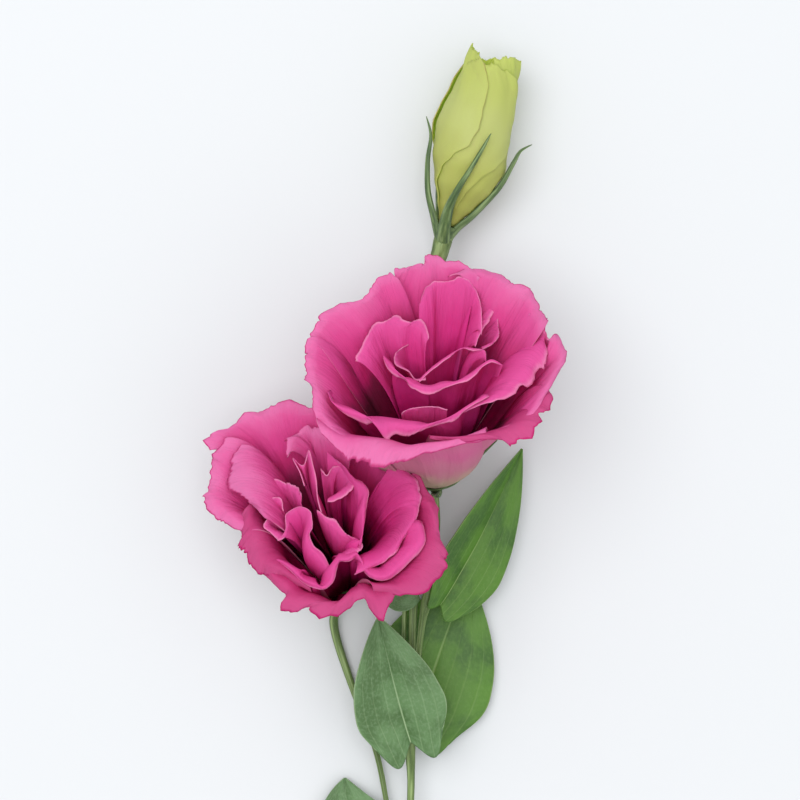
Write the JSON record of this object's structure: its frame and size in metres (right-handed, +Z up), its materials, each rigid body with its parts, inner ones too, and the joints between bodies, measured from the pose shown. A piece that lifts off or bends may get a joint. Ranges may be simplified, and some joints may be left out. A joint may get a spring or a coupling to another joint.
{
  "type": "lisianthus flower spray",
  "caption": "Cut spray of double lisianthus lying face up, with open ruffled blooms, a furled bud, slender forked stems and paired oval leaves.",
  "frame": {"origin": "on the table, under the middle of the spray's bounding box", "axes": "+Y along the spray from the cut end of the stem to the bud, +Z up from the table towards the open faces of the flowers, +X across, towards the right-hand leaves"},
  "size_m": [0.1039, 0.2864, 0.0717],
  "materials": {
    "petal": "soft matt petals, pink at the rim and deep magenta at the base",
    "bud_petal": "soft matt furled petals, yellow-green with a faint tan edge",
    "calyx": "matt dark grey-green",
    "leaf": "smooth waxy green with a paler midrib",
    "stem": "smooth waxy green"
  },
  "bodies": {
    "root": {"back_leaf": "leaf", "bottom_left_leaf": "leaf", "bottom_right_leaf": "leaf", "bud_calyx": "calyx", "bud_petal_1": "bud_petal", "bud_petal_2": "bud_petal", "bud_petal_3": "bud_petal", "bud_petal_4": "bud_petal", "bud_petal_5": "bud_petal", "bud_stalk": "stem", "front_leaf": "leaf", "left_branch": "stem", "lower_flower_calyx": "calyx", "lower_flower_heart_1": "petal", "lower_flower_heart_2": "petal", "lower_flower_inner_1": "petal", "lower_flower_inner_2": "petal", "lower_flower_inner_3": "petal", "lower_flower_inner_4": "petal", "lower_flower_middle_1": "petal", "lower_flower_middle_2": "petal", "lower_flower_middle_3": "petal", "lower_flower_middle_4": "petal", "lower_flower_middle_5": "petal", "lower_flower_outer_1": "petal", "lower_flower_outer_2": "petal", "lower_flower_outer_3": "petal", "lower_flower_outer_4": "petal", "lower_flower_outer_5": "petal", "lower_flower_outer_6": "petal", "main_stem": "stem", "side_shoot": "stem", "upper_flower_calyx": "calyx", "upper_flower_heart_1": "petal", "upper_flower_heart_2": "petal", "upper_flower_inner_1": "petal", "upper_flower_inner_2": "petal", "upper_flower_inner_3": "petal", "upper_flower_inner_4": "petal", "upper_flower_middle_1": "petal", "upper_flower_middle_2": "petal", "upper_flower_middle_3": "petal", "upper_flower_middle_4": "petal", "upper_flower_middle_5": "petal", "upper_flower_outer_1": "petal", "upper_flower_outer_2": "petal", "upper_flower_outer_3": "petal", "upper_flower_outer_4": "petal", "upper_flower_outer_5": "petal", "upper_flower_outer_6": "petal", "upper_flower_stalk": "stem", "upper_left_leaf": "leaf", "upper_right_leaf": "leaf"}
  },
  "joints": []
}
